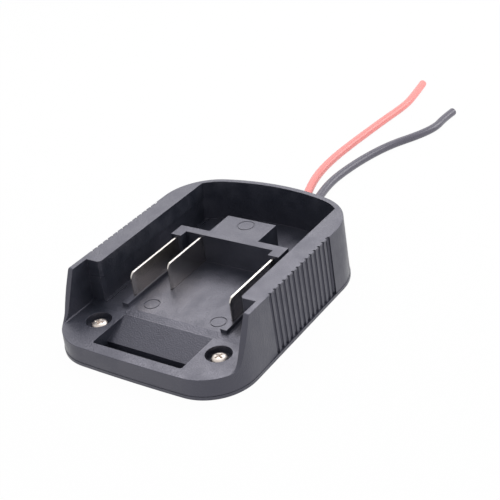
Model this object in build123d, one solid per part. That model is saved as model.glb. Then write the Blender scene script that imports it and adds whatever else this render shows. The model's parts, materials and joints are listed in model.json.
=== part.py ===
from build123d import *
from math import cos, radians, sin, sqrt, tan
import os

# Slide-on battery adapter: an open tray with two rails, three blade terminals and two flying wires.
# Millimetres. +X runs from the left rail to the right one, +Y towards the wires, +Z up.
# The origin is at the middle of the underside of the body.

# Body outline, as the base plate has it
body_width = 79.0
body_length = 103.0
body_height = 25.2
front_bow_radius = 800.0
rear_bow_radius = 88.0
front_corner_radius = 18.2
rear_corner_radius = 22.0

# Housing walls
side_draft = 2.0
flange_overhang = 0.15
wall = 2.1
cavity_wall = 2.1
floor_skin = 2.0
skin_margin = 0.4
outer_rounding = 0.15
overrun = 1.0
fit = 0.05

# Deck in front of the rails and floor of the tray behind it. A setback is a distance from the front end.
deck_height = 8.0
tray_floor_height = 8.6
tray_setback = 27.0
tray_rise_length = 3.1
deck_cove = 0.6

# Side walls slope down to the deck at the front
slope_setback = 19.75
slope_angle = 24.5
slope_toe_radius = 5.5
slope_crest_radius = 0.9

# Rails: on each side a lip that overhangs a guide wall with a low foot
lip_spacing = 60.6
lip_setback = 27.4
lip_thickness = 6.6
lip_lead_in = 0.9
guide_spacing = 62.0
guide_foot_width = 1.4
guide_foot_height = 0.5

# Terminal wall across the tray, its two lugs and the stop block behind it
terminal_wall_setback = 65.0
terminal_wall_thickness = 3.4
terminal_wall_top = 20.1
lug_inner_x = 19.35
lug_outer_x = 23.9
lug_length = 3.6
block_width = 21.6
block_length = 12.9
block_skin = 2.0

# Blade terminals
blade_pitch = 43.0
blade_thickness = 0.8
blade_top = 19.15
blade_setback = 32.65
blade_corner_radius = 2.2
blade_bevel_length = 1.4
blade_bevel_depth = 0.2
blade_seat_depth = 3.0
signal_x = -12.5
signal_setback = 42.9
signal_seat_depth = 1.4
foot_width = 5.4
foot_length = 20.0
foot_setback = 4.8
signal_foot_length = 13.0
foot_bend_radius = 0.5
ridge_width = 2.6
ridge_height = 1.5
ridge_lead = 5.6

# Latch pocket in the deck
pocket_width = 38.2
pocket_length = 18.7
pocket_setback = 4.9
pocket_corner_radius = 1.0
slot_width = 7.2
ramp_foot_height = 3.8
pocket_wall = 1.6

# Front screws
screw_spacing = 52.0
screw_setback = 17.0
counterbore_diameter = 9.5
counterbore_depth = 2.8
screw_boss_diameter = 12.4
screw_seat_thickness = 1.3
screw_head_diameter = 6.2
screw_head_height = 2.1
screw_head_slope_height = 0.9
screw_head_slope_width = 1.2
screw_shank_diameter = 2.6
screw_clearance_diameter = 3.0
screw_length = 4.6
screw_tip_length = 0.9
screw_tip_diameter = 1.2
recess_width = 0.75
recess_span = 3.3
recess_depth = 1.2

# Grip grooves in the sides
groove_count = 14
groove_pitch = 2.98
groove_radius = 0.8
groove_tip_length = 0.7
groove_tip_radius = 0.28
groove_setback = 33.1
end_groove_step = 0.9
grip_recess = 0.3
grip_lead_in = 7.5

# Mould marks: shallow plain rings left by the ejector pins
mark_depth = 0.2
mark_width = 0.35
floor_mark_diameter = 5.8
floor_mark_setback = 5.2
floor_mark_left_x = -13.4
floor_mark_right_x = 15.8
block_mark_diameter = 6.4
block_mark_offset = 2.2

# Base plate
base_thickness = 1.4
base_edge_chamfer = 0.15
rim_height = 1.6
rim_thickness = 1.2
rim_clearance = 0.15
rim_gap_margin = 3.0
base_boss_diameter = 7.2
pilot_floor = 0.5
rib_height = 1.5
rib_thickness = 1.2
cross_rib_length = 50.0
cross_rib_setback = 29.5
long_rib_x = 26.5
long_rib_length = 46.0
long_rib_setback = 34.5
pad_width = 3.2
pad_length = 7.0
signal_pad_length = 5.0

# Snap hooks at the rear of the base plate
hook_x = 20.5
hook_width = 6.0
hook_thickness = 1.4
hook_barb = 0.7
hook_barb_height = 0.9
ledge_rise = 2.2
catch_depth = 0.8
catch_height = 0.9
catch_margin = 1.0
hook_clearance = 0.1

# Wires
wire_diameter = 3.7
conductor_diameter = 1.9
wire_spacing = 4.3
wire_lift = 0.1
exit_clearance = 0.1
clamp_inset = 5.9
clamp_thickness = 1.5
clamp_width = 12.0
strip_length = 6.0
strip_end_gap = 1.0
solder_length = 4.4
solder_width = 3.6
solder_height = 2.3
solder_rounding = 1.2
bend_share = 0.45
lead_shares = [(0, 0, 0), (0, 0.3, 0), (1, 0.7, 1), (1, 1, 1)]

half_width = body_width / 2
front_y = -body_length / 2
rear_y = body_length / 2
tray_step_y = front_y + tray_setback
slope_top_y = front_y + slope_setback
lip_front_y = front_y + lip_setback
terminal_wall_y = front_y + terminal_wall_setback
blade_front_y = front_y + blade_setback
signal_front_y = front_y + signal_setback
pocket_front_y = front_y + pocket_setback
pocket_rear_y = pocket_front_y + pocket_length
ramp_foot_y = pocket_front_y + slot_width
screw_y = front_y + screw_setback
first_groove_y = front_y + groove_setback
clamp_y = rear_y - clamp_inset
rim_draft = (body_height - base_thickness) * tan(radians(side_draft))
tray_inset = flange_overhang + rim_draft + wall
cavity_inset = flange_overhang + cavity_wall
rail_core_top = body_height - floor_skin - skin_margin
lip_underside = body_height - lip_thickness
tray_underside = tray_floor_height - floor_skin
deck_underside = deck_height - floor_skin
wall_back_y = terminal_wall_y + terminal_wall_thickness
lug_front_y = terminal_wall_y - lug_length
block_back_y = wall_back_y + block_length
foot_underside = tray_underside - blade_thickness
ramp_run = pocket_rear_y - ramp_foot_y
ramp_rise = deck_height - ramp_foot_height
seat_height = deck_height - counterbore_depth
boss_bottom = seat_height - screw_seat_thickness
grip_rear_y = first_groove_y + (groove_count - 1) * groove_pitch + end_groove_step
wire_radius = wire_diameter / 2
exit_height = base_thickness + wire_lift + wire_radius
lead_height = tray_underside - fit - wire_radius
foot_middle = blade_pitch / 2 + blade_thickness / 2 - foot_width / 2
signal_foot_front = signal_front_y + foot_setback
power_foot_front = blade_front_y + foot_setback
power_foot_rear = power_foot_front + foot_length


def rear_face_y(x, inset):
    """Y of the bowed rear face at one x, for the outline drawn in by inset."""
    radius = rear_bow_radius - inset
    return rear_y - rear_bow_radius + sqrt(radius**2 - x**2)


# Free wires: points of their routes from the rear wall to the cut ends, lying on the table
exit_y = rear_face_y(wire_spacing / 2, flange_overhang)
red_route = [
    (-wire_spacing / 2, exit_y, exit_height),
    (-wire_spacing / 2, 60.0, exit_height),
    (-4.2, 72.4, wire_radius),
    (-10.3, 87.3, wire_radius),
    (-14.5, 102.8, wire_radius),
    (-15.8, 119.4, wire_radius),
    (-14.8, 139.4, wire_radius),
    (-12.6, 165.8, wire_radius),
    (-10.5, 184.7, wire_radius),
    (-11.9, 198.6, wire_radius),
    (-14.0, 212.0, wire_radius),
]
black_route = [
    (wire_spacing / 2, exit_y, exit_height),
    (wire_spacing / 2, 60.0, exit_height),
    (0.5, 70.4, wire_radius),
    (-3.2, 83.3, wire_radius),
    (-5.3, 96.8, wire_radius),
    (-5.0, 108.3, wire_radius),
    (-2.5, 124.6, wire_radius),
    (2.4, 141.1, wire_radius),
    (10.4, 154.8, wire_radius),
    (14.2, 165.6, wire_radius),
    (13.7, 175.2, wire_radius),
    (14.6, 183.9, wire_radius),
]


def outline(inset=0):
    """Plan outline of the body, drawn in by inset."""
    front_side = front_y + front_bow_radius - sqrt(front_bow_radius**2 - half_width**2)
    rear_side = rear_face_y(half_width, 0)
    edges = [
        ThreePointArc((-half_width, front_side), (0, front_y), (half_width, front_side)),
        Line((half_width, front_side), (half_width, rear_side)),
        ThreePointArc((half_width, rear_side), (0, rear_y), (-half_width, rear_side)),
        Line((-half_width, rear_side), (-half_width, front_side)),
    ]
    face = make_face(edges)
    face = fillet(face.vertices().sort_by(Axis.Y)[:2], front_corner_radius)
    face = fillet(face.vertices().sort_by(Axis.Y)[-2:], rear_corner_radius)
    return offset(face, amount=-inset) if inset else face


def prism(inset, low, high):
    """Upright block with the plan outline drawn in by inset."""
    return Pos(0, 0, low) * extrude(outline(inset), amount=high - low)


def box(x_range, y_range, z_range):
    """Block between two x, two y and two z values."""
    middle = [(a + b) / 2 for a, b in (x_range, y_range, z_range)]
    spans = [b - a for a, b in (x_range, y_range, z_range)]
    return Pos(*middle) * Box(*spans)


def side_profile(points, half_span, middle_x=0):
    """Profile of (y, z) points carried across from middle_x - half_span to middle_x + half_span."""
    face = make_face(Plane.YZ * Polyline(*points, close=True))
    return Pos(middle_x, 0, 0) * extrude(face, amount=half_span, both=True)


def round_pin(x, y, diameter, low, high):
    """Upright cylinder between two heights."""
    return Pos(x, y, (low + high) / 2) * Cylinder(diameter / 2, high - low)


def both_sides(shape):
    """The shape and its mirror image on the other side of the body."""
    return shape + mirror(shape, about=Plane.YZ)


# Housing

def front_opening():
    """What is cut away in front of the side walls, above the deck."""
    rise = body_height - deck_height + overrun
    crest = slope_top_y + overrun * tan(radians(slope_angle))
    corner = crest - rise * tan(radians(slope_angle))
    points = [
        (crest, body_height + overrun),
        (corner, deck_height),
        (front_y - overrun, deck_height),
        (front_y - overrun, body_height + overrun),
    ]
    face = make_face(Plane.YZ * Polyline(*points, close=True))
    toe = face.vertices().sort_by(Axis.Z)[:2].sort_by(Axis.Y)[-1]
    return extrude(fillet(toe, slope_toe_radius), amount=half_width + overrun, both=True)


def outer_block():
    """The housing's outside before it is hollowed: drafted sides, sloping front and rounded edges."""
    block = extrude(outline(flange_overhang), amount=body_height - base_thickness, taper=side_draft)
    block = Pos(0, 0, base_thickness) * block - front_opening()
    crest = block.edges().filter_by(Axis.X).sort_by(Axis.Z)[-1]
    block = fillet(crest, slope_crest_radius)
    across = block.edges().filter_by(Axis.X)
    upper = [e for e in block.edges() if e.bounding_box().min.Z > deck_height - fit and e not in across]
    return fillet(upper, outer_rounding)


def ridges():
    """Low ridges on the tray floor that carry the two outer blades."""
    x = blade_pitch / 2
    span = (x - ridge_width / 2, x + ridge_width / 2)
    return both_sides(box(span, (blade_front_y - ridge_lead, terminal_wall_y),
                          (tray_floor_height - overrun, tray_floor_height + ridge_height)))


def terminal_wall():
    """Wall across the tray that the blades end in, with its lugs and the stop block behind it."""
    low = tray_floor_height - overrun
    middle = box((-lug_outer_x, lug_outer_x), (terminal_wall_y, wall_back_y), (low, terminal_wall_top))
    lug = box((lug_inner_x, lug_outer_x), (lug_front_y, wall_back_y), (low, terminal_wall_top))
    block = box((-block_width / 2, block_width / 2), (terminal_wall_y, block_back_y), (low, terminal_wall_top))
    return middle + both_sides(lug) + block


def rails():
    """Lips and the guide walls under them, reaching out past the tray walls."""
    lip = box((lip_spacing / 2, half_width), (lip_front_y, rear_y), (lip_underside, body_height + overrun))
    corner = lip.edges().filter_by(Axis.Z).sort_by(Axis.Y)[:2].sort_by(Axis.X)[0]
    lip = chamfer(corner, lip_lead_in)
    guide = box((guide_spacing / 2, half_width), (tray_step_y, rear_y),
                (tray_floor_height - overrun, lip_underside))
    foot = box((guide_spacing / 2 - guide_foot_width, half_width), (tray_step_y, rear_y),
               (tray_floor_height - overrun, tray_floor_height + guide_foot_height))
    return both_sides(lip + guide + foot)


def tray_space():
    """The open space of the tray: everything inside the walls that isn't rail, ridge or terminal wall."""
    deck_x = half_width - tray_inset
    deck = box((-deck_x, deck_x), (front_y - overrun, tray_step_y), (deck_height, body_height + overrun))
    deck = fillet(deck.edges().filter_by(Axis.Y).sort_by(Axis.Z)[:2], deck_cove)
    deck -= side_profile([
        (tray_step_y - tray_rise_length, deck_height),
        (tray_step_y, tray_floor_height),
        (tray_step_y, deck_height),
    ], body_width)
    tray = prism(tray_inset, tray_floor_height, body_height + overrun)
    tray -= box((-body_width, body_width), (-body_length, tray_step_y), (0, body_height + 2 * overrun))
    return deck + (tray - rails() - terminal_wall() - ridges())


def latch_pocket():
    """Pocket in the deck: a ramp for the latch, then a slot down to the base plate."""
    points = [
        (pocket_rear_y + overrun, deck_height + overrun * ramp_rise / ramp_run),
        (ramp_foot_y, ramp_foot_height),
        (ramp_foot_y, base_thickness - overrun),
        (pocket_front_y, base_thickness - overrun),
        (pocket_front_y, body_height),
        (pocket_rear_y + overrun, body_height),
    ]
    pocket = side_profile(points, pocket_width / 2)
    front = pocket.edges().filter_by(Axis.Z).sort_by(Axis.Y)[:2]
    return fillet(front, pocket_corner_radius)


def pocket_walls():
    """Walls that hang round the latch pocket inside the housing."""
    ramp = side_profile([
        (pocket_rear_y, deck_height),
        (pocket_rear_y, deck_underside),
        (ramp_foot_y, ramp_foot_height - pocket_wall),
        (ramp_foot_y, deck_height),
    ], pocket_width / 2 + pocket_wall)
    shaft = box((-pocket_width / 2 - pocket_wall, pocket_width / 2 + pocket_wall),
                (pocket_front_y - pocket_wall, ramp_foot_y + pocket_wall), (base_thickness, deck_height))
    return ramp + shaft


def screw_bosses():
    """Bosses under the deck that the front screws clamp."""
    return both_sides(round_pin(screw_spacing / 2, screw_y, screw_boss_diameter, boss_bottom, deck_height))


def hook_catches():
    """Ledges on the inside of the rear wall that the base plate's hooks snap over."""
    low = base_thickness + ledge_rise
    reach = box((hook_x - hook_width / 2 - catch_margin, hook_x + hook_width / 2 + catch_margin),
                (0, rear_y), (low, low + catch_height))
    high = low + catch_height
    ring = prism(cavity_inset, low, high) - prism(cavity_inset + catch_depth, low, high)
    return both_sides(reach & ring)


def clamp_bar():
    """Bar under the tray floor that presses on the wires where they come in."""
    bar = box((-clamp_width / 2, clamp_width / 2),
              (clamp_y - clamp_thickness / 2, clamp_y + clamp_thickness / 2),
              (exit_height, tray_underside))
    for x in (-wire_spacing / 2, wire_spacing / 2):
        groove = Pos(x, clamp_y, exit_height) * Rot(90, 0, 0) * Cylinder(wire_radius + fit, 2 * clamp_thickness)
        bar -= groove
    return bar


def underside_space():
    """The hollow under the deck and tray, closed below by the base plate."""
    low = base_thickness - overrun
    front = prism(cavity_inset, low, deck_underside)
    rear = prism(cavity_inset, low, tray_underside)
    rear -= box((-body_width, body_width), (-body_length, tray_step_y + floor_skin), (0, body_height))
    core_x = guide_spacing / 2 + floor_skin
    core = prism(cavity_inset + rim_draft, low, rail_core_top)
    core &= both_sides(box((core_x, half_width), (tray_step_y + floor_skin, rear_y), (0, body_height)))
    block_core = box((-block_width / 2 + block_skin, block_width / 2 - block_skin),
                     (wall_back_y, block_back_y - block_skin), (low, terminal_wall_top - block_skin))
    space = front + rear + core + block_core
    return space - pocket_walls() - screw_bosses() - hook_catches() - clamp_bar()


def screw_holes():
    """Counterbores and clearance holes for the front screws."""
    bore = round_pin(screw_spacing / 2, screw_y, counterbore_diameter, seat_height, body_height)
    hole = round_pin(screw_spacing / 2, screw_y, screw_clearance_diameter, 0, body_height)
    return both_sides(bore + hole)


def blade_slots():
    """Slots that let the blades up through the floor, into the ridges, lugs and terminal wall."""
    gap = blade_thickness / 2 + fit
    x = blade_pitch / 2
    top = blade_top + fit
    outer = box((x - gap, x + gap), (blade_front_y - fit, lug_front_y + blade_seat_depth + fit),
                (tray_underside - overrun, top))
    signal = box((signal_x - gap, signal_x + gap),
                 (signal_front_y - fit, terminal_wall_y + signal_seat_depth + fit),
                 (tray_underside - overrun, top))
    return both_sides(outer) + signal


def wire_exit():
    """Notch in the rear wall, open at the seam, that both wires leave by."""
    radius = wire_radius + exit_clearance
    notch = box((-wire_spacing / 2 - radius, wire_spacing / 2 + radius), (clamp_y, rear_y + overrun),
                (base_thickness - overrun, exit_height))
    for x in (-wire_spacing / 2, wire_spacing / 2):
        round_top = Cylinder(radius, rear_y - clamp_y + overrun)
        notch += Pos(x, (clamp_y + rear_y) / 2, exit_height) * Rot(90, 0, 0) * round_top
    return notch & prism(0, 0, body_height)


def grip_grooves():
    """Upright grooves in both sides, in a shallow recess that fades out at the front."""
    face_x = half_width - flange_overhang
    top = body_height - groove_tip_length
    length = top - base_thickness + overrun
    cutter = Pos(0, 0, -length / 2) * Cylinder(groove_radius, length)
    tip_length = 1.5 * groove_tip_length
    cutter += Pos(0, 0, tip_length / 2) * Cone(groove_radius, groove_tip_radius, tip_length)
    places = [first_groove_y + i * groove_pitch for i in range(groove_count)] + [grip_rear_y]
    lean = Pos(face_x, 0, base_thickness) * Rot(0, -side_draft, 0)
    grooves = Compound(children=[lean * Pos(-grip_recess, y, top - base_thickness) * cutter for y in places])
    start = first_groove_y - grip_lead_in
    recess = make_face(Polyline(
        (0, start), (-grip_recess, first_groove_y), (-grip_recess, grip_rear_y),
        (overrun, grip_rear_y), (overrun, start), close=True))
    recess = lean * Pos(0, 0, -overrun) * extrude(recess, amount=top - base_thickness + overrun)
    return grooves, recess


def mould_marks():
    """Plain ejector rings in the tray floor and on the stop block."""
    def ring(x, y, height, diameter):
        outer = round_pin(x, y, diameter + mark_width, height - mark_depth, height + mark_depth)
        return outer - round_pin(x, y, diameter - mark_width, height - mark_depth, height + mark_depth)

    y = tray_step_y + floor_mark_setback
    marks = ring(floor_mark_left_x, y, tray_floor_height, floor_mark_diameter)
    marks += ring(floor_mark_right_x, y, tray_floor_height, floor_mark_diameter)
    block_y = (wall_back_y + block_back_y) / 2 + block_mark_offset
    return marks + ring(0, block_y, terminal_wall_top, block_mark_diameter)


def housing():
    """The moulded housing with its tray, rails, terminal wall, latch pocket and grips."""
    shell = outer_block() - tray_space() - underside_space()
    shell -= latch_pocket()
    shell -= screw_holes()
    shell -= blade_slots()
    shell -= wire_exit()
    shell -= mould_marks()
    grooves, recess = grip_grooves()
    for cutter in [recess, *grooves.children]:
        shell -= cutter
        shell -= mirror(cutter, about=Plane.YZ)
    return shell


# Base plate

def base_plate():
    """The bottom cover with its locating rim, screw bosses, blade pads, ribs and rear hooks."""
    plate = prism(0, 0, base_thickness)
    low_edges = [e for e in plate.edges() if e.bounding_box().max.Z < fit]
    plate = chamfer(low_edges, base_edge_chamfer)
    return plate + locating_rim() + base_bosses() + blade_pads() + base_ribs() + hooks()


def locating_rim():
    """Low wall that centres the base plate in the housing, with gaps at the pocket and the wires."""
    low, high = base_thickness - fit, base_thickness + rim_height
    outer = cavity_inset + rim_clearance
    rim = prism(outer, low, high) - prism(outer + rim_thickness, low, high)
    pocket_gap = pocket_width / 2 + pocket_wall + rim_gap_margin
    rim -= box((-pocket_gap, pocket_gap), (front_y, 0), (0, body_height))
    wire_gap = wire_spacing / 2 + wire_radius + rim_gap_margin
    rim -= box((-wire_gap, wire_gap), (0, rear_y), (0, body_height))
    hook_gap = hook_width / 2 + catch_margin
    rim -= both_sides(box((hook_x - hook_gap, hook_x + hook_gap), (0, rear_y), (0, body_height)))
    return rim


def base_bosses():
    """Bosses that the front screws bite into."""
    boss = round_pin(screw_spacing / 2, screw_y, base_boss_diameter, base_thickness - fit, boss_bottom)
    return both_sides(boss)


def pilot_holes():
    """Blind holes of the screw bosses."""
    hole = round_pin(screw_spacing / 2, screw_y, screw_shank_diameter + 2 * fit, pilot_floor, boss_bottom + overrun)
    return both_sides(hole)


def blade_pads():
    """Pads that press the feet of the blades up against the housing floor."""
    low = base_thickness - fit
    outer = box((foot_middle - pad_width / 2, foot_middle + pad_width / 2),
                (power_foot_front, power_foot_front + pad_length), (low, foot_underside))
    x = signal_x - blade_thickness / 2 + foot_width / 2
    signal = box((x - pad_width / 2, x + pad_width / 2),
                 (signal_foot_front, signal_foot_front + signal_pad_length), (low, foot_underside))
    return both_sides(outer) + signal


def base_ribs():
    """Stiffening ribs on the inside of the plate."""
    low, high = base_thickness - fit, base_thickness + rib_height
    across_y, along_y = front_y + cross_rib_setback, front_y + long_rib_setback
    across = box((-cross_rib_length / 2, cross_rib_length / 2),
                 (across_y - rib_thickness / 2, across_y + rib_thickness / 2), (low, high))
    along = box((long_rib_x - rib_thickness / 2, long_rib_x + rib_thickness / 2),
                (along_y, along_y + long_rib_length), (low, high))
    return across + both_sides(along)


def hooks():
    """Two tongues with barbs that hold the rear of the base plate."""
    catch_top = base_thickness + ledge_rise + catch_height
    face = rear_face_y(hook_x + hook_width / 2, cavity_inset + catch_depth) - hook_clearance
    span = (hook_x - hook_width / 2, hook_x + hook_width / 2)
    tongue = box(span, (face - hook_thickness, face), (base_thickness - fit, catch_top + hook_barb_height))
    barb = side_profile([
        (face, catch_top),
        (face + hook_barb, catch_top),
        (face, catch_top + hook_barb_height),
    ], hook_width / 2, hook_x)
    return both_sides(tongue + barb)


# Terminals

def blade(front, rear, foot_front, length):
    """One blade terminal standing on x = 0, with its soldering foot bent towards +X."""
    web = box((-blade_thickness / 2, blade_thickness / 2), (front, rear), (foot_underside, blade_top))
    tip = web.edges().filter_by(Axis.X).sort_by(Axis.Z)[-2:].sort_by(Axis.Y)[0]
    web = fillet(tip, blade_corner_radius)
    bevel = make_face(Polyline(
        (-blade_thickness / 2, front), (-blade_thickness / 2 + blade_bevel_depth, front),
        (-blade_thickness / 2, front + blade_bevel_length), close=True))
    bevel = extrude(bevel, amount=body_height)
    web -= both_sides(bevel)
    foot = box((-blade_thickness / 2, foot_width - blade_thickness / 2), (foot_front, foot_front + length),
               (foot_underside, tray_underside))
    foot_edges = foot.edges().filter_by(Axis.Z).sort_by(Axis.X)[-2:]
    foot = fillet(foot_edges, foot_bend_radius)
    return web + foot


def power_blade(x):
    """An outer blade, with its foot bent towards the middle of the body."""
    piece = blade(blade_front_y, lug_front_y + blade_seat_depth, power_foot_front, foot_length)
    return Pos(x, 0, 0) * (piece if x < 0 else mirror(piece, about=Plane.YZ))


def signal_blade():
    """The shorter middle blade."""
    rear = terminal_wall_y + signal_seat_depth
    return Pos(signal_x, 0, 0) * blade(signal_front_y, rear, signal_foot_front, signal_foot_length)


# Fasteners

def screw(x):
    """Pan-head self-tapping screw with a cross recess."""
    head = Cylinder(screw_head_diameter / 2, screw_head_height)
    head = chamfer(head.edges().sort_by(Axis.Z)[-1], screw_head_slope_height, screw_head_slope_width)
    top = screw_head_height / 2
    for turn in (0, 90):
        head -= Pos(0, 0, top) * Rot(0, 0, turn) * Box(recess_span, recess_width, 2 * recess_depth)
    head = Pos(x, screw_y, seat_height + screw_head_height / 2) * head
    tip = seat_height - screw_length
    shank = round_pin(x, screw_y, screw_shank_diameter, tip + screw_tip_length, seat_height + fit)
    point = Pos(x, screw_y, tip + screw_tip_length / 2) * Cone(
        screw_tip_diameter / 2, screw_shank_diameter / 2, screw_tip_length)
    return head + shank + point


# Wires

def bend_radii(route):
    """Radius of the arc at each corner of a route, as large as its two runs allow."""
    points = [Vector(*p) for p in route]
    radii = []
    for before, here, after in zip(points, points[1:], points[2:]):
        shorter = min((here - before).length, (after - here).length)
        turn = (here - before).get_angle(after - here)
        radii.append(bend_share * shorter / tan(radians(turn / 2)))
    return radii


def tube(name, route, diameter):
    """Round wire along straight runs joined by tangent arcs."""
    radii = bend_radii(route)
    path = FilletPolyline(*route, radius=radii)
    section = Plane(origin=path @ 0, z_dir=path % 0) * Circle(diameter / 2)
    solid = sweep(section, path=path)
    print(name, "length", round(path.length, 1), "least radius", round(min(radii), 1),
          "radii", [round(r, 1) for r in radii],
          "volume share", round(solid.volume / (section.area * path.length), 4))
    return solid


def lead_route(side):
    """Route of an insulated lead from the rear wall to the foot of an outer blade."""
    joint_y = power_foot_rear + strip_end_gap
    spread = foot_middle - wire_spacing / 2
    drop = exit_y - joint_y
    rise = lead_height - exit_height
    return [
        (side * (wire_spacing / 2 + a * spread), exit_y - b * drop, exit_height + c * rise)
        for a, b, c in lead_shares
    ]


def conductor(side):
    """Stripped end of a wire, lying under the foot of its blade."""
    start = power_foot_rear + strip_end_gap
    return Pos(side * foot_middle, start - strip_length / 2, lead_height) * Rot(90, 0, 0) * Cylinder(
        conductor_diameter / 2, strip_length)


def solder_joint(side):
    """Solder that joins a stripped end to the foot of its blade."""
    middle_y = power_foot_rear + strip_end_gap - strip_length + solder_length / 2
    blob = Pos(side * foot_middle, middle_y, foot_underside - solder_height / 2) * Box(
        solder_width, solder_length, solder_height)
    blob = fillet(blob.edges().filter_by(Axis.Y).sort_by(Axis.Z)[:2], solder_rounding)
    return blob - conductor(side)


os.makedirs("parts", exist_ok=True)
pieces = {
    "housing": housing(),
    "base_plate": base_plate() - pilot_holes(),
    "positive_blade": power_blade(-blade_pitch / 2),
    "negative_blade": power_blade(blade_pitch / 2),
    "signal_blade": signal_blade(),
    "front_left_screw": screw(-screw_spacing / 2),
    "front_right_screw": screw(screw_spacing / 2),
    "red_wire": tube("red_wire", red_route, wire_diameter),
    "black_wire": tube("black_wire", black_route, wire_diameter),
    "red_lead": tube("red_lead", lead_route(-1), wire_diameter),
    "black_lead": tube("black_lead", lead_route(1), wire_diameter),
    "red_conductor": conductor(-1),
    "black_conductor": conductor(1),
    "positive_solder": solder_joint(-1),
    "negative_solder": solder_joint(1),
}
for name, piece in pieces.items():
    export_step(piece, f"parts/{name}.step")
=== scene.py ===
"""Looks of a slide-on battery adapter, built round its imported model. Metres, +Z up."""

import json
from math import cos, pi, radians, sin

import bmesh
import bpy
from mathutils import Euler, Matrix, Vector


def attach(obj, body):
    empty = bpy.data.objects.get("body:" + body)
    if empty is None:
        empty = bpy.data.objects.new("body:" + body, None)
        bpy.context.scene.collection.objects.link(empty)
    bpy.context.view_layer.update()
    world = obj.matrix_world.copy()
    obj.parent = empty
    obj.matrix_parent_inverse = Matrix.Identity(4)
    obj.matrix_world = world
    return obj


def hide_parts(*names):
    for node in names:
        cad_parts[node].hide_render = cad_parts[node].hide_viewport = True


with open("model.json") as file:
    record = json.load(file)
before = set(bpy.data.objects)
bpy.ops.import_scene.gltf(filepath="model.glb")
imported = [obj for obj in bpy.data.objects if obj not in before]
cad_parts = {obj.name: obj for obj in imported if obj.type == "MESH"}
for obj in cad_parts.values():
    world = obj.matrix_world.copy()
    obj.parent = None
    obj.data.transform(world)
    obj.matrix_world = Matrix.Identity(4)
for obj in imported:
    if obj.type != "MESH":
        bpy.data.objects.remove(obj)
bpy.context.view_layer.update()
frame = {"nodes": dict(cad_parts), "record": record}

# Camera
camera_azimuth = 36.285
camera_elevation = 29.906
camera_roll = -7.586
camera_distance = 0.389016
camera_target = Vector((0.016637, 0.003431, 0.0252))
camera_lens = 79.19
camera_sensor = 36.0
camera_clip_start = 0.01

# Wires
wire_diameter = 0.0037
red_route = [
    (-0.00215, 0.05132, 0.00335),
    (-0.00215, 0.06000, 0.00335),
    (-0.00420, 0.07240, 0.00185),
    (-0.01030, 0.08730, 0.00185),
    (-0.01450, 0.10280, 0.00185),
    (-0.01580, 0.11940, 0.00185),
    (-0.01480, 0.13940, 0.00185),
    (-0.01260, 0.16580, 0.00185),
    (-0.01050, 0.18470, 0.00185),
    (-0.01190, 0.19860, 0.00185),
    (-0.01400, 0.21200, 0.00185),
]
black_route = [
    (0.00215, 0.05132, 0.00335),
    (0.00215, 0.06000, 0.00335),
    (0.00050, 0.07040, 0.00185),
    (-0.00320, 0.08330, 0.00185),
    (-0.00530, 0.09680, 0.00185),
    (-0.00500, 0.10830, 0.00185),
    (-0.00250, 0.12460, 0.00185),
    (0.00240, 0.14110, 0.00185),
    (0.01040, 0.15480, 0.00185),
    (0.01420, 0.16560, 0.00185),
    (0.01370, 0.17520, 0.00185),
    (0.01460, 0.18390, 0.00185),
]


# Helpers

def link(name, data):
    """A new object in the scene."""
    piece = bpy.data.objects.new(name, data)
    bpy.context.scene.collection.objects.link(piece)
    return piece


def corners_of(piece):
    """Lowest and highest corner of a piece's box, in the scene."""
    places = [piece.matrix_world @ Vector(corner) for corner in piece.bound_box]
    return [Vector([pick(place[axis] for place in places) for axis in range(3)]) for pick in (min, max)]


class Graph:
    """A material's node tree, with short calls to add nodes and links."""

    def __init__(self, name):
        self.material = bpy.data.materials.new(name)
        self.material.use_nodes = True
        self.nodes = self.material.node_tree.nodes
        self.links = self.material.node_tree.links
        self.shader = self.nodes["Principled BSDF"]
        self.output = self.nodes["Material Output"]

    def add(self, kind, **values):
        """A node with its properties and input values set."""
        node = self.nodes.new(kind)
        for key, value in values.items():
            if hasattr(node, key):
                setattr(node, key, value)
            else:
                node.inputs[key.replace("_", " ").title()].default_value = value
        return node

    def link(self, source, target):
        self.links.new(source, target)

    def noise(self, scale, detail, stretch=(1, 1, 1)):
        """Noise in the piece's own coordinates."""
        place = self.add("ShaderNodeTexCoord")
        spread = self.add("ShaderNodeMapping", Scale=stretch)
        noise = self.add("ShaderNodeTexNoise", Scale=scale, Detail=detail)
        self.link(place.outputs["Object"], spread.inputs["Vector"])
        self.link(spread.outputs["Vector"], noise.inputs["Vector"])
        return noise.outputs["Fac"]

    def between(self, value, low, high, start=0.0, end=1.0):
        """The value spread from start..end to low..high."""
        spread = self.add("ShaderNodeMapRange")
        spread.inputs["From Min"].default_value = start
        spread.inputs["From Max"].default_value = end
        spread.inputs["To Min"].default_value = low
        spread.inputs["To Max"].default_value = high
        self.link(value, spread.inputs["Value"])
        return spread.outputs["Result"]

    def blend_colours(self, share, first, second):
        """A colour between two, by share."""
        mix = self.add("ShaderNodeMix", data_type="RGBA")
        mix.inputs[6].default_value = (*first, 1)
        mix.inputs[7].default_value = (*second, 1)
        self.link(share, mix.inputs[0])
        return mix.outputs[2]

    def bump(self, height, distance, strength, normal=None):
        """Surface relief, in metres."""
        bump = self.add("ShaderNodeBump")
        bump.inputs["Strength"].default_value = strength
        bump.inputs["Distance"].default_value = distance
        self.link(height, bump.inputs["Height"])
        if normal:
            self.link(normal, bump.inputs["Normal"])
        return bump.outputs["Normal"]

    def rounded_edges(self, radius):
        """Normals that round off sharp edges."""
        bevel = self.add("ShaderNodeBevel", samples=edge_samples)
        bevel.inputs["Radius"].default_value = radius
        return bevel.outputs["Normal"]

    def set(self, **values):
        """Sets the shader's own inputs."""
        for key, value in values.items():
            self.shader.inputs[key.replace("_", " ")].default_value = value


# Materials: each noise is (scale, detail), each relief (distance, strength), each range (low, high)

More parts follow.
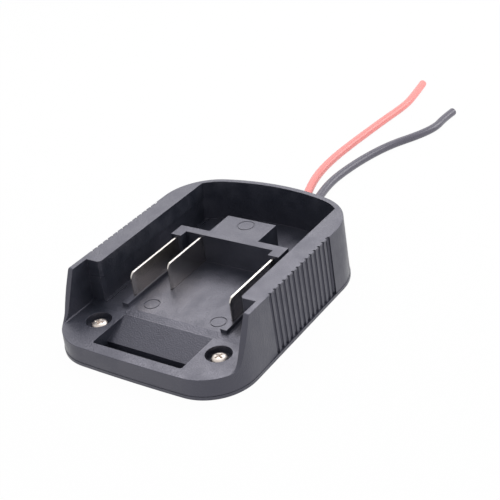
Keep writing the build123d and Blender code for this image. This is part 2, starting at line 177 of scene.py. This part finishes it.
edge_samples = 4
tone_range = (0.35, 0.65)
gloss_range = (0.3, 0.7)

cloud_noise = (170, 8)
grain_noise = (1800, 5)
grain_relief = (0.00022, 0.6)
plastic_roughness = (0.28, 0.46)
plastic_ior = 1.8
plastic_gloss_tint = (0.88, 0.84, 1, 1)
housing_tones = ((0.021, 0.025, 0.036), (0.028, 0.032, 0.044))
housing_edge_radius = 0.00018
base_tones = ((0.02, 0.024, 0.034), (0.026, 0.03, 0.042))
base_edge_radius = 0.00008

streak_noise = (2600, 2)
streak_stretch = (1, 0.04, 1)
streak_shares = (0.97, 1.05)
patch_noise = (120, 2)
patch_relief = (0.00002, 0.3)
metal_edge_radius = 0.00005
blade_tones = ((0.66, 0.63, 0.60), (0.58, 0.55, 0.52))
blade_roughness = 0.26
screw_tones = ((0.80, 0.74, 0.70), (0.60, 0.53, 0.48))
screw_roughness = 0.42

wave_noise = (260, 3)
pore_noise = (1800, 2)
pore_relief = (0.000001, 0.05)
insulation_roughness = (0.30, 0.34)
red_tones = ((1.0, 0.33, 0.31), (1.0, 0.31, 0.29))
black_tones = ((0.122, 0.115, 0.150), (0.130, 0.122, 0.158))

copper_noise = (1800, 3)
copper_tones = ((0.85, 0.42, 0.24), (0.62, 0.27, 0.14))
copper_roughness = (0.22, 0.42)
solder_noise = (900, 4)
solder_tones = ((0.66, 0.67, 0.69), (0.42, 0.43, 0.45))
solder_roughness = (0.22, 0.5)
solder_relief = (0.0001, 0.5)


def moulded_plastic(name, dark, light, edge_radius):
    """Black moulded plastic with a fine spark-eroded grain and faint cloudy patches."""
    g = Graph(name)
    clouds = g.noise(*cloud_noise)
    grain = g.noise(*grain_noise)
    colour = g.blend_colours(g.between(clouds, 0, 1, *tone_range), dark, light)
    g.link(colour, g.shader.inputs["Base Color"])
    g.link(g.between(clouds, *plastic_roughness, *tone_range), g.shader.inputs["Roughness"])
    relief = g.bump(grain, *grain_relief, g.rounded_edges(edge_radius))
    g.link(relief, g.shader.inputs["Normal"])
    g.set(IOR=plastic_ior, Specular_Tint=plastic_gloss_tint)
    return g.material


def rolled_metal(name, colour, worn, roughness):
    """Nickel-plated strip, rolled along its length."""
    g = Graph(name)
    streaks = g.noise(*streak_noise, streak_stretch)
    patches = g.noise(*patch_noise)
    tint = g.blend_colours(g.between(patches, 0, 1, *tone_range), colour, worn)
    g.link(tint, g.shader.inputs["Base Color"])
    smooth, rough = (roughness * share for share in streak_shares)
    g.link(g.between(streaks, smooth, rough, *gloss_range), g.shader.inputs["Roughness"])
    relief = g.bump(patches, *patch_relief, g.rounded_edges(metal_edge_radius))
    g.link(relief, g.shader.inputs["Normal"])
    g.set(Metallic=1.0)
    return g.material


def insulation(name, colour, shade):
    """Soft wire insulation with a satin surface."""
    g = Graph(name)
    waves = g.noise(*wave_noise)
    pores = g.noise(*pore_noise)
    tint = g.blend_colours(g.between(waves, 0, 1, *tone_range), colour, shade)
    g.link(tint, g.shader.inputs["Base Color"])
    g.link(g.between(waves, *insulation_roughness, *gloss_range), g.shader.inputs["Roughness"])
    g.link(g.bump(pores, *pore_relief), g.shader.inputs["Normal"])
    return g.material


def copper(name):
    """Bare copper strands."""
    g = Graph(name)
    tone = g.noise(*copper_noise)
    g.link(g.blend_colours(tone, *copper_tones), g.shader.inputs["Base Color"])
    g.link(g.between(tone, *copper_roughness), g.shader.inputs["Roughness"])
    g.set(Metallic=1.0)
    return g.material


def solder(name):
    """Dull tin solder."""
    g = Graph(name)
    tone = g.noise(*solder_noise)
    g.link(g.blend_colours(tone, *solder_tones), g.shader.inputs["Base Color"])
    g.link(g.between(tone, *solder_roughness), g.shader.inputs["Roughness"])
    g.link(g.bump(tone, *solder_relief), g.shader.inputs["Normal"])
    g.set(Metallic=1.0)
    return g.material


def dress(node, material):
    """Gives a CAD node its material."""
    piece = frame["nodes"][node]
    piece.data.materials.clear()
    piece.data.materials.append(material)


# Screws

head_radius = 0.0031
head_height = 0.0021
head_shares = [
    (1.0, 0.20), (0.98, 0.38), (0.93, 0.55), (0.84, 0.71),
    (0.70, 0.84), (0.50, 0.94), (0.26, 0.99), (0.05, 1.0),
]
head_segments = 48
recess_depth = 0.0010
recess_reach = (0.00090, 0.00195)
recess_width = (0.00024, 0.00054)
recess_overrun_share = 0.2
recess_corners = ((1, 1), (-1, 1), (-1, -1), (1, -1))
thread_root = 0.00098
thread_crest = 0.00128
thread_pitch = 0.0011
thread_steps = 24
thread_sink_share = 0.9
thread_half_share = 0.22
thread_end_share = 0.6
point_length = 0.0009
point_share = 0.25
point_segments = 24
merge_distance = 1e-7
sharp_angle = radians(32)
left_screw_turn = radians(14)
right_screw_turn = radians(-22)


def lathe(mesh, profile, segments):
    """Turns a profile of (radius, height) points round the z axis and closes its ends."""
    rings = []
    angles = [2 * pi * i / segments for i in range(segments)]
    for radius, height in profile:
        rings.append([mesh.verts.new((radius * cos(a), radius * sin(a), height)) for a in angles])
    for low, high in zip(rings, rings[1:]):
        for i in range(segments):
            mesh.faces.new((low[i - 1], low[i], high[i], high[i - 1]))
    mesh.faces.new(list(reversed(rings[0])))
    mesh.faces.new(rings[-1])
    bmesh.ops.remove_doubles(mesh, verts=mesh.verts, dist=merge_distance)


def thread(mesh, bottom, top):
    """Helical ridge round the shank between two heights."""
    count = int((top - bottom) / thread_pitch * thread_steps)
    rows = []
    for i in range(count + 1):
        angle = 2 * pi * i / thread_steps
        middle = bottom + thread_pitch * i / thread_steps
        fade = min(1, i / thread_steps, (count - i) / thread_steps)
        crest = thread_root + (thread_crest - thread_root) * fade
        foot = thread_root * thread_sink_share
        half = thread_pitch * thread_half_share
        row = [(foot, middle - half), (crest, middle), (foot, middle + half)]
        rows.append([mesh.verts.new((r * cos(angle), r * sin(angle), z)) for r, z in row])
    for low, high in zip(rows, rows[1:]):
        for a, b in ((0, 1), (1, 2), (2, 0)):
            mesh.faces.new((low[a], high[a], high[b], low[b]))
    mesh.faces.new(rows[0])
    mesh.faces.new(list(reversed(rows[-1])))


def as_object(name, mesh):
    """An object from a bmesh, smooth but for its sharp edges."""
    bmesh.ops.recalc_face_normals(mesh, faces=mesh.faces)
    data = bpy.data.meshes.new(name)
    mesh.to_mesh(data)
    mesh.free()
    data.shade_smooth()
    data.set_sharp_from_angle(angle=sharp_angle)
    return link(name, data)


def recess_arm(name, turn):
    """Cutter for one arm pair of a cross recess, narrower at the bottom."""
    mesh = bmesh.new()
    corners = []
    for part, (reach, width) in enumerate(zip(recess_reach, recess_width)):
        height = head_height - recess_depth * (1 - part) + recess_depth * recess_overrun_share * part
        corners.append([mesh.verts.new((x * reach, y * width, height)) for x, y in recess_corners])
    for i in range(4):
        mesh.faces.new((corners[0][i - 1], corners[0][i], corners[1][i], corners[1][i - 1]))
    mesh.faces.new(corners[0])
    mesh.faces.new(corners[1])
    bmesh.ops.rotate(mesh, cent=(0, 0, 0), matrix=Matrix.Rotation(turn, 3, "Z"), verts=mesh.verts)
    return as_object(name, mesh)


def screw(node, turn):
    """Pan-head screw with a domed head, a tapered cross recess and a thread, in the place of its CAD node."""
    low, high = corners_of(frame["nodes"][node])
    seat = high.z - head_height
    point = low.z + point_length - seat
    shank = [(thread_root, point), (thread_root, 0), (head_radius, 0)]
    mesh = bmesh.new()
    lathe(mesh, shank + [(r * head_radius, h * head_height) for r, h in head_shares], head_segments)
    head = as_object(node + "_head", mesh)
    arms = [recess_arm(node + "_arm", turn + angle) for angle in (0, pi / 2)]
    for arm in arms:
        cut = head.modifiers.new("recess", "BOOLEAN")
        cut.object = arm
        cut.solver = "EXACT"
    solid = bpy.data.meshes.new_from_object(head.evaluated_get(bpy.context.evaluated_depsgraph_get()))
    mesh = bmesh.new()
    mesh.from_mesh(solid)
    lathe(mesh, [(thread_root * point_share, low.z - seat), (thread_root, point)], point_segments)
    thread(mesh, point, -thread_pitch * thread_end_share)
    for piece in [head, *arms]:
        bpy.data.objects.remove(piece)
    piece = as_object(node + "_detail", mesh)
    piece.location = ((low.x + high.x) / 2, (low.y + high.y) / 2, seat)
    piece.data.materials.append(materials["screw_metal"])
    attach(piece, "root")
    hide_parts(node)


# Cut ends and skins of the wires

strand_radius = 0.00019
strand_reach = 0.00012
strand_depth = 0.001
strand_sides = 12
strand_tip_share = 0.92
strand_counts = (1, 6, 12)
skin_sides = 8
skin_order = 3
skin_steps = 12


def wire(name, node, route, slot):
    """A free wire as one smooth curve, with its copper showing in the cut end."""
    curve = bpy.data.curves.new(name, "CURVE")
    curve.dimensions = "3D"
    curve.bevel_depth = wire_diameter / 2
    curve.bevel_resolution = skin_sides
    curve.use_fill_caps = True
    line = curve.splines.new("NURBS")
    line.points.add(len(route) - 1)
    for point, place in zip(line.points, route):
        point.co = (*place, 1)
    line.order_u = skin_order
    line.use_endpoint_u = True
    line.resolution_u = skin_steps
    curve.materials.append(materials[slot])
    piece = link(name, curve)
    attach(piece, "root")
    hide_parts(node)
    strands = cut_end(name + "_strands", route)


def cut_end(name, route):
    """Copper strands that show in the square cut end of a wire."""
    tip, before = Vector(route[-1]), Vector(route[-2])
    turn = (tip - before).to_track_quat("Z", "Y").to_matrix().to_4x4()
    mesh = bmesh.new()
    for ring, count in enumerate(strand_counts):
        radius = 2 * ring * strand_radius
        for i in range(count):
            angle = 2 * pi * i / count
            place = Vector((radius * cos(angle), radius * sin(angle), (strand_reach - strand_depth) / 2))
            bmesh.ops.create_cone(
                mesh, cap_ends=True, segments=strand_sides,
                radius1=strand_radius, radius2=strand_radius * strand_tip_share,
                depth=strand_depth + strand_reach,
                matrix=Matrix.Translation(tip) @ turn @ Matrix.Translation(place))
    data = bpy.data.meshes.new(name)
    mesh.to_mesh(data)
    mesh.free()
    data.materials.append(materials["copper"])
    piece = link(name, data)
    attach(piece, "root")
    return piece


materials = {
    "housing_plastic": moulded_plastic("housing_plastic", *housing_tones, housing_edge_radius),
    "base_plastic": moulded_plastic("base_plastic", *base_tones, base_edge_radius),
    "blade_metal": rolled_metal("blade_metal", *blade_tones, blade_roughness),
    "screw_metal": rolled_metal("screw_metal", *screw_tones, screw_roughness),
    "red_insulation": insulation("red_insulation", *red_tones),
    "black_insulation": insulation("black_insulation", *black_tones),
    "copper": copper("copper"),
    "solder": solder("solder"),
}
for row in frame["record"]["subparts"]:
    dress(row["node"], materials[row["material_slot"]])

screw("front_left_screw", left_screw_turn)
screw("front_right_screw", right_screw_turn)
wire("red_wire_skin", "red_wire", red_route, "red_insulation")
wire("black_wire_skin", "black_wire", black_route, "black_insulation")


# Stage: each lamp is (direction, distance, size, radiance)

key_lamp = ((-0.34, 0.54, 0.76), 0.5, 0.34, 3.4)
edge_lamp = ((0.50, 0.74, 0.45), 1.0, 0.5, 4.0)
white = (1, 1, 1, 1)
white_strength = 1.0
room_strength = 0.5
room_white_share = 1.0
floor_half_size = 3
floor_colour = (0.9, 0.9, 0.9, 1)
floor_roughness = 0.9
floor_white_share = 0.98


def camera():
    """The camera at the photograph's place."""
    data = bpy.data.cameras.new("camera")
    data.lens = camera_lens
    data.sensor_width = camera_sensor
    data.clip_start = camera_clip_start
    piece = link("camera", data)
    turn = (Euler((radians(90 - camera_elevation), 0, radians(camera_azimuth))).to_matrix().to_4x4()
            @ Matrix.Rotation(radians(camera_roll), 4, "Z"))
    back = turn.to_3x3() @ Vector((0, 0, 1))
    piece.matrix_world = Matrix.Translation(camera_target + camera_distance * back) @ turn
    bpy.context.scene.camera = piece


def softbox(name, direction, distance, size, radiance):
    """A square lamp that looks at the object from a direction, as bright as radiance."""
    data = bpy.data.lights.new(name, "AREA")
    data.shape = "SQUARE"
    data.size = size
    data.energy = radiance * pi * size**2
    piece = link(name, data)
    way = Vector(direction).normalized()
    piece.location = camera_target + distance * way
    piece.rotation_euler = way.to_track_quat("Z", "Y").to_euler()


def white_for_view(nodes, links, kind, share):
    """The share of plain white that camera, glossy and clear rays see of a surface, and that white."""
    path = nodes.new("ShaderNodeLightPath")
    seen = nodes.new("ShaderNodeMath")
    seen.operation = "MAXIMUM"
    both = nodes.new("ShaderNodeMath")
    both.operation = "MAXIMUM"
    links.new(path.outputs["Is Camera Ray"], both.inputs[0])
    links.new(path.outputs["Is Glossy Ray"], both.inputs[1])
    links.new(both.outputs[0], seen.inputs[0])
    links.new(path.outputs["Is Transmission Ray"], seen.inputs[1])
    part = nodes.new("ShaderNodeMath")
    part.operation = "MULTIPLY"
    part.inputs[1].default_value = share
    links.new(seen.outputs[0], part.inputs[0])
    glow = nodes.new(kind)
    glow.inputs["Color"].default_value = white
    glow.inputs["Strength"].default_value = white_strength
    return part.outputs[0], glow.outputs[0]


def floor():
    """Plain white table."""
    mesh = bmesh.new()
    bmesh.ops.create_grid(mesh, x_segments=1, y_segments=1, size=floor_half_size)
    data = bpy.data.meshes.new("floor")
    mesh.to_mesh(data)
    mesh.free()
    g = Graph("floor")
    g.set(Base_Color=floor_colour, Roughness=floor_roughness)
    share, glow = white_for_view(g.nodes, g.links, "ShaderNodeEmission", floor_white_share)
    mix = g.add("ShaderNodeMixShader")
    g.link(share, mix.inputs[0])
    g.link(g.shader.outputs[0], mix.inputs[1])
    g.link(glow, mix.inputs[2])
    g.link(mix.outputs[0], g.output.inputs["Surface"])
    data.materials.append(g.material)
    link("floor", data)


def surroundings():
    """White room, dim as a lamp and white where it is seen."""
    world = bpy.data.worlds.new("room")
    bpy.context.scene.world = world
    world.use_nodes = True
    nodes, links = world.node_tree.nodes, world.node_tree.links
    dim = nodes["Background"]
    dim.inputs["Color"].default_value = white
    dim.inputs["Strength"].default_value = room_strength
    share, glow = white_for_view(nodes, links, "ShaderNodeBackground", room_white_share)
    mix = nodes.new("ShaderNodeMixShader")
    links.new(share, mix.inputs[0])
    links.new(dim.outputs[0], mix.inputs[1])
    links.new(glow, mix.inputs[2])
    links.new(mix.outputs[0], nodes["World Output"].inputs["Surface"])


camera()
floor()
surroundings()
softbox("key_softbox", *key_lamp)
softbox("edge_softbox", *edge_lamp)
bpy.context.scene.view_settings.view_transform = "Standard"
